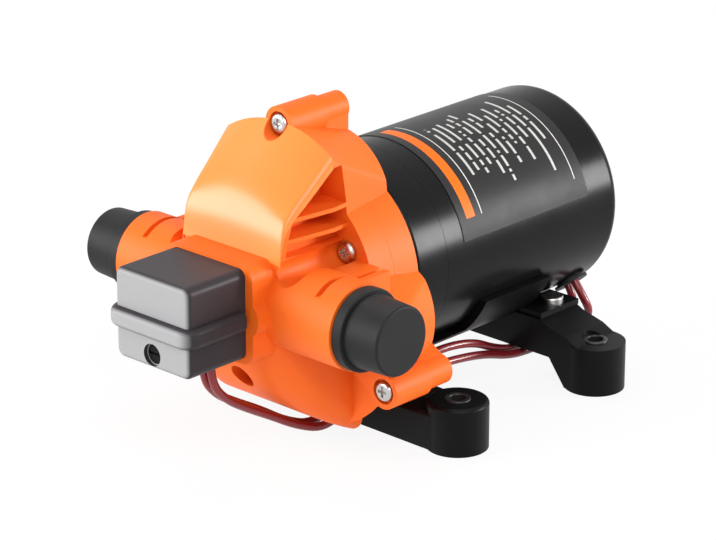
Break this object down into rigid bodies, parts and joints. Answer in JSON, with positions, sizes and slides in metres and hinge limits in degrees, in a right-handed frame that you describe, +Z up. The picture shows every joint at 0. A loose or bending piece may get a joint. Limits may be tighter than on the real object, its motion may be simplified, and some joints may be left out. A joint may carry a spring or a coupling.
{
  "type": "caravan water pump",
  "caption": "Diaphragm water pump for a caravan: a motor with a lobed pump head, a pressure switch, capped side ports and a base with feet.",
  "frame": {"origin": "on the floor, in the middle of the four foot holes", "axes": "+X to the right seen from the front, +Y from the pump head to the rear of the motor, +Z up"},
  "size_m": [0.1328, 0.1941, 0.1137],
  "materials": {
    "motor_black": "gloss black enamel",
    "label_charcoal": "matte charcoal film with an orange stripe",
    "orange_plastic": "satin orange moulded plastic",
    "bearing_steel": "ground bearing steel",
    "core_steel": "dull laminated steel",
    "copper": "enamelled copper",
    "ferrite": "dull ferrite",
    "inner_plastic": "natural engineering plastic",
    "carbon": "pressed carbon",
    "screw_steel": "bright stainless steel",
    "inner_rubber": "soft black rubber",
    "switch_grey": "dark grey satin plastic",
    "adjuster_black": "black oxide",
    "cap_rubber": "matte black rubber",
    "base_black": "satin black plastic",
    "sleeve_black": "satin black sleeve",
    "wire_red": "dark red insulation"
  },
  "bodies": {
    "root": {"motor_can": "motor_black", "motor_bell": "motor_black", "motor_label": "label_charcoal", "lower_housing": "orange_plastic", "upper_housing": "orange_plastic", "front_bearing_outer": "bearing_steel", "rear_bearing_outer": "bearing_steel", "magnets": "ferrite", "brush_plate": "inner_plastic", "brush_holders": "copper", "brushes": "carbon", "brush_springs": "screw_steel", "motor_bolts": "screw_steel", "corner_screws": "screw_steel", "side_screws": "screw_steel", "diaphragm": "inner_rubber", "valve_plate": "inner_plastic", "inlet_valves": "inner_rubber", "outlet_valve": "inner_rubber", "valve_seal": "inner_rubber", "switch_base": "switch_grey", "switch_screws": "screw_steel", "switch_diaphragm": "inner_rubber", "switch_housing": "switch_grey", "switch_spring": "screw_steel", "microswitch": "inner_plastic", "cradle": "base_black", "cradle_rivets": "screw_steel", "front_foot_bar": "base_black", "rear_foot_bar": "base_black", "foot_sleeves": "sleeve_black", "base_screws": "screw_steel", "can_grommet": "cap_rubber", "switch_grommet": "cap_rubber", "wire_a": "wire_red", "wire_b": "wire_red"},
    "rotor": {"shaft": "bearing_steel", "armature_core": "core_steel", "armature_windings": "copper", "commutator": "copper", "eccentric_bush": "core_steel", "front_bearing_inner": "bearing_steel", "rear_bearing_inner": "bearing_steel", "wobble_bearing_inner": "bearing_steel"},
    "wobble": {"wobble_bearing_outer": "bearing_steel", "wobble_plate": "inner_plastic", "pistons": "inner_plastic", "piston_screws": "screw_steel"},
    "plunger": {"switch_plunger": "inner_plastic"},
    "button": {"microswitch_button": "inner_plastic"},
    "adjuster": {"adjusting_screw": "adjuster_black"},
    "left_cap": {"inlet_cap": "cap_rubber"},
    "right_cap": {"outlet_cap": "cap_rubber"}
  },
  "joints": [
    {"name": "motor_spin", "type": "hinge", "parent": "root", "child": "rotor", "pos_m": [0, -0.0246, 0.0544], "axis": [0, -1, 0], "continuous": true},
    {"name": "wobble_turn", "type": "hinge", "parent": "rotor", "child": "wobble", "pos_m": [0, -0.0416, 0.0544], "axis": [0, -0.9986, 0.0523], "continuous": true, "deforming": ["diaphragm"]},
    {"name": "plunger_slide", "type": "slide", "parent": "root", "child": "plunger", "axis": [0, -1, 0], "range_m": [0, 0.001], "stiffness_N_per_m": 400, "deforming": ["switch_spring"]},
    {"name": "button_slide", "type": "slide", "parent": "root", "child": "button", "axis": [0, -1, 0], "range_m": [0, 0.001]},
    {"name": "adjuster_turn", "type": "hinge", "parent": "root", "child": "adjuster", "pos_m": [0, -0.1196, 0.0447], "axis": [0, -1, 0], "range_deg": [-360, 360]},
    {"name": "left_cap_pull", "type": "slide", "parent": "root", "child": "left_cap", "axis": [-1, 0, 0], "range_m": [0, 0.022]},
    {"name": "right_cap_pull", "type": "slide", "parent": "root", "child": "right_cap", "axis": [1, 0, 0], "range_m": [0, 0.022]}
  ],
  "couplings": [
    {"joint": "wobble_turn", "follows": "motor_spin", "ratio": -1},
    {"joint": "button_slide", "follows": "plunger_slide", "ratio": 1}
  ]
}
